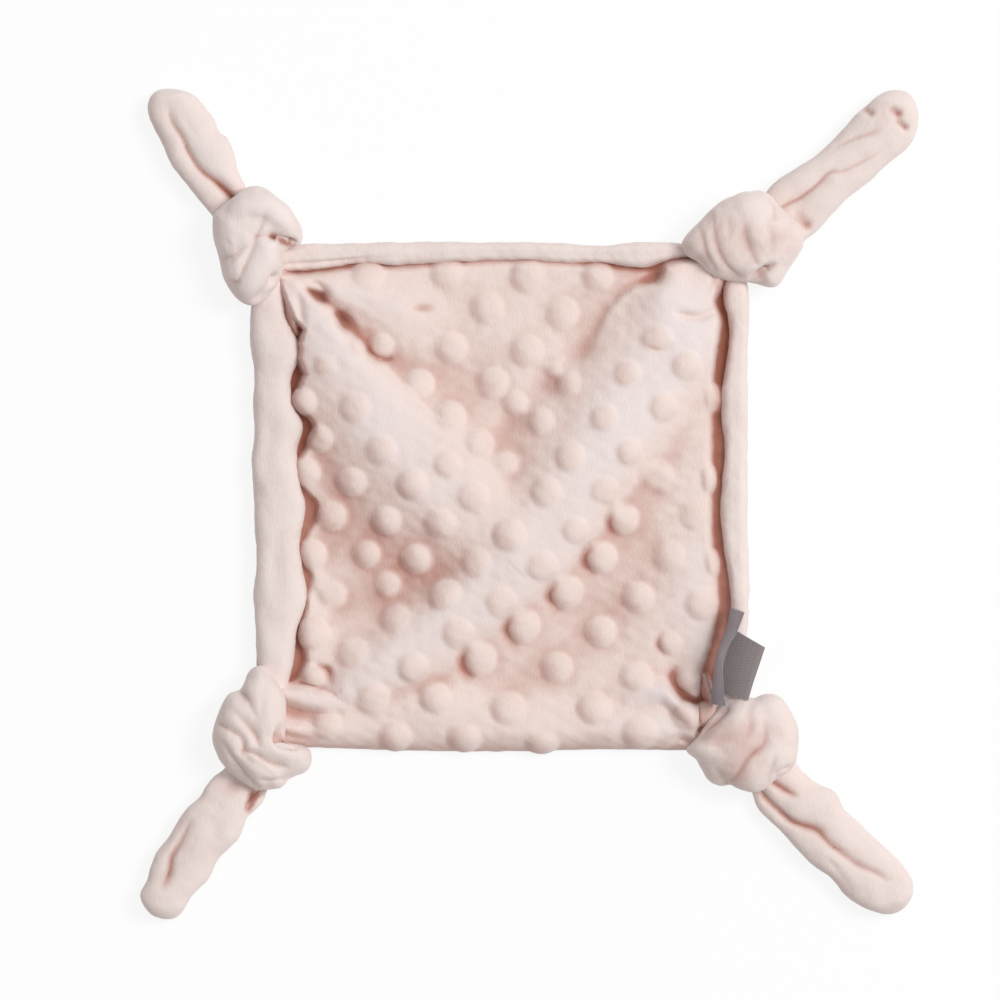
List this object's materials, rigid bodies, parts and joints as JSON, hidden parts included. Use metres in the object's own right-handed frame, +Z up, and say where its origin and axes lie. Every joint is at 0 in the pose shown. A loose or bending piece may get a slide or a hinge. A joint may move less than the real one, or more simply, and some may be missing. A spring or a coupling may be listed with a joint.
{
  "type": "comfort blanket lovey",
  "caption": "Soft two-layer plush comfort blanket with a dotted front, rolled smooth edges, a knot and ear at each corner, and two small seam labels.",
  "frame": {"origin": "middle of the square body on the surface it lies on, at the flat underside of the back panel", "axes": "+Z up out of the dotted front, +Y towards the upper edge of the picture, +X to its right, so that the labels are at +X"},
  "size_m": [0.305, 0.3216, 0.0293],
  "materials": {
    "dimple_plush": "matte",
    "velour": "matte",
    "satin_ribbon": "satin",
    "woven_tape": "matte",
    "sewing_thread": "matte"
  },
  "bodies": {
    "body": {"back_panel": "velour", "front_panel": "dimple_plush", "left_rolled_edge": "velour", "top_rolled_edge": "velour", "right_rolled_edge": "velour", "lower_rolled_edge": "dimple_plush", "left_seam_thread": "sewing_thread", "top_seam_thread": "sewing_thread", "right_seam_thread": "sewing_thread", "lower_seam_thread": "sewing_thread", "closing_stitch": "sewing_thread"},
    "upper_left_knot": {"upper_left_knot": "velour"},
    "upper_left_ear": {"upper_left_ear": "velour"},
    "upper_right_knot": {"upper_right_knot": "velour"},
    "upper_right_ear": {"upper_right_ear": "velour"},
    "lower_left_knot": {"lower_left_knot": "velour"},
    "lower_left_ear": {"lower_left_ear": "velour"},
    "lower_right_knot": {"lower_right_knot": "velour"},
    "lower_right_ear": {"lower_right_ear": "velour"},
    "large_label": {"large_label": "satin_ribbon"},
    "small_label": {"small_label": "woven_tape"}
  },
  "joints": [
    {"name": "upper_left_fold", "type": "hinge", "parent": "body", "child": "upper_left_knot", "pos_m": [-0.07814, 0.07964, 0.006], "axis": [0.7071, 0.7071, 0], "range_deg": [-75, 55]},
    {"name": "upper_left_ear_bend", "type": "hinge", "parent": "upper_left_knot", "child": "upper_left_ear", "pos_m": [-0.1077, 0.1176, 0.0055], "axis": [0.848, 0.5299, 0], "range_deg": [-60, 75]},
    {"name": "upper_right_fold", "type": "hinge", "parent": "body", "child": "upper_right_knot", "pos_m": [0.07774, 0.08345, 0.006], "axis": [0.7071, -0.7071, 0], "range_deg": [-75, 55]},
    {"name": "upper_right_ear_bend", "type": "hinge", "parent": "upper_right_knot", "child": "upper_right_ear", "pos_m": [0.11456, 0.11623, 0.0055], "axis": [0.6293, -0.7771, 0], "range_deg": [-60, 75]},
    {"name": "lower_left_fold", "type": "hinge", "parent": "body", "child": "lower_left_knot", "pos_m": [-0.07574, -0.07313, 0.006], "axis": [-0.7071, 0.7071, 0], "range_deg": [-75, 55]},
    {"name": "lower_left_ear_bend", "type": "hinge", "parent": "lower_left_knot", "child": "lower_left_ear", "pos_m": [-0.10573, -0.11178, 0.0055], "axis": [-0.848, 0.5299, 0], "range_deg": [-60, 75]},
    {"name": "lower_right_fold", "type": "hinge", "parent": "body", "child": "lower_right_knot", "pos_m": [0.06555, -0.06903, 0.006], "axis": [-0.7071, -0.7071, 0], "range_deg": [-75, 50]},
    {"name": "lower_right_ear_bend", "type": "hinge", "parent": "lower_right_knot", "child": "lower_right_ear", "pos_m": [0.11065, -0.11286, 0.0055], "axis": [-0.682, -0.7314, 0], "range_deg": [-60, 75]},
    {"name": "large_label_flip", "type": "hinge", "parent": "lower_right_knot", "child": "large_label", "pos_m": [0.08527, -0.06119, 0.0118], "axis": [0.2079, 0.9781, 0], "range_deg": [-75, 0]},
    {"name": "small_label_flip", "type": "hinge", "parent": "lower_right_knot", "child": "small_label", "pos_m": [0.08777, -0.06169, 0.0118], "axis": [0.309, 0.9511, 0], "range_deg": [-40, 0]}
  ]
}
